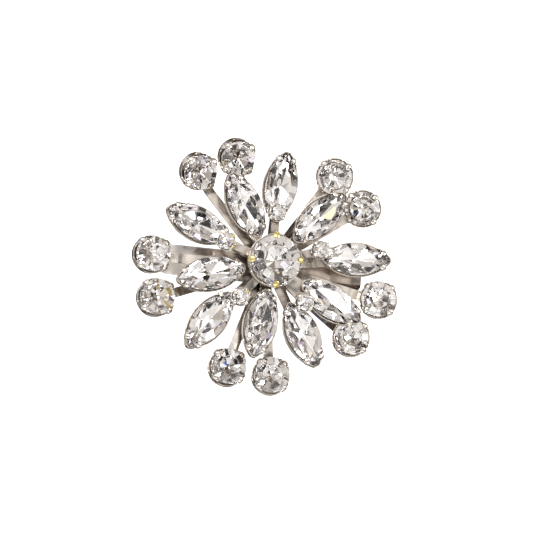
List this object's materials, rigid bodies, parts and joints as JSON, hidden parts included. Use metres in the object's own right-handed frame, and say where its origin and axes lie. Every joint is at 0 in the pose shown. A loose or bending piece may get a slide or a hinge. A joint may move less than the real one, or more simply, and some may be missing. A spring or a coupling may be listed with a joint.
{
  "type": "rhinestone hair clip",
  "caption": "Layered flower of round and navette rhinestones in prong cups on radiating metal strips, riveted to a sprung two-prong hair clip.",
  "frame": {"origin": "underside of the lower lever, below the middle of the flower", "axes": "+X along the clip towards its pinch end, +Z out of the flower's face"},
  "size_m": [0.062, 0.0579, 0.021],
  "materials": {
    "crystal": "clear cut crystal, foil backed",
    "plated_cup": "bright warm silver plate",
    "plated_sheet": "warm grey silver plate, brown in its shadows",
    "clip_steel": "plated steel, fine scratches",
    "spring_steel": "drawn spring wire"
  },
  "bodies": {
    "flower": {"outer_stone_1": "crystal", "outer_stone_2": "crystal", "outer_stone_3": "crystal", "outer_stone_4": "crystal", "outer_stone_5": "crystal", "outer_stone_6": "crystal", "outer_stone_7": "crystal", "outer_stone_8": "crystal", "outer_stone_9": "crystal", "outer_stone_10": "crystal", "outer_cup_1": "plated_cup", "outer_cup_2": "plated_cup", "outer_cup_3": "plated_cup", "outer_cup_4": "plated_cup", "outer_cup_5": "plated_cup", "outer_cup_6": "plated_cup", "outer_cup_7": "plated_cup", "outer_cup_8": "plated_cup", "outer_cup_9": "plated_cup", "outer_cup_10": "plated_cup", "navette_stone_1": "crystal", "navette_stone_2": "crystal", "navette_stone_3": "crystal", "navette_stone_4": "crystal", "navette_stone_5": "crystal", "navette_stone_6": "crystal", "navette_stone_7": "crystal", "navette_stone_8": "crystal", "navette_stone_9": "crystal", "navette_stone_10": "crystal", "navette_cup_1": "plated_cup", "navette_cup_2": "plated_cup", "navette_cup_3": "plated_cup", "navette_cup_4": "plated_cup", "navette_cup_5": "plated_cup", "navette_cup_6": "plated_cup", "navette_cup_7": "plated_cup", "navette_cup_8": "plated_cup", "navette_cup_9": "plated_cup", "navette_cup_10": "plated_cup", "small_stone_1": "crystal", "small_stone_2": "crystal", "small_stone_3": "crystal", "small_stone_4": "crystal", "small_stone_5": "crystal", "small_cup_1": "plated_cup", "small_cup_2": "plated_cup", "small_cup_3": "plated_cup", "small_cup_4": "plated_cup", "small_cup_5": "plated_cup", "centre_stone": "crystal", "centre_cup": "plated_cup", "outer_star": "plated_sheet", "navette_star": "plated_sheet", "top_star": "plated_sheet", "hub_rivet": "plated_sheet", "clip_upper_lever": "clip_steel", "clip_pin": "clip_steel", "clip_spring": "spring_steel"},
    "lower_lever": {"clip_lower_lever": "clip_steel"}
  },
  "joints": [
    {"name": "clip_hinge", "type": "hinge", "parent": "flower", "child": "lower_lever", "pos_m": [0.011, 0, 0.003], "axis": [0, -1, 0], "range_deg": [0, 18], "stiffness_Nm_per_rad": 0.05, "springref_deg": -57.3, "deforming": ["clip_spring"]}
  ]
}
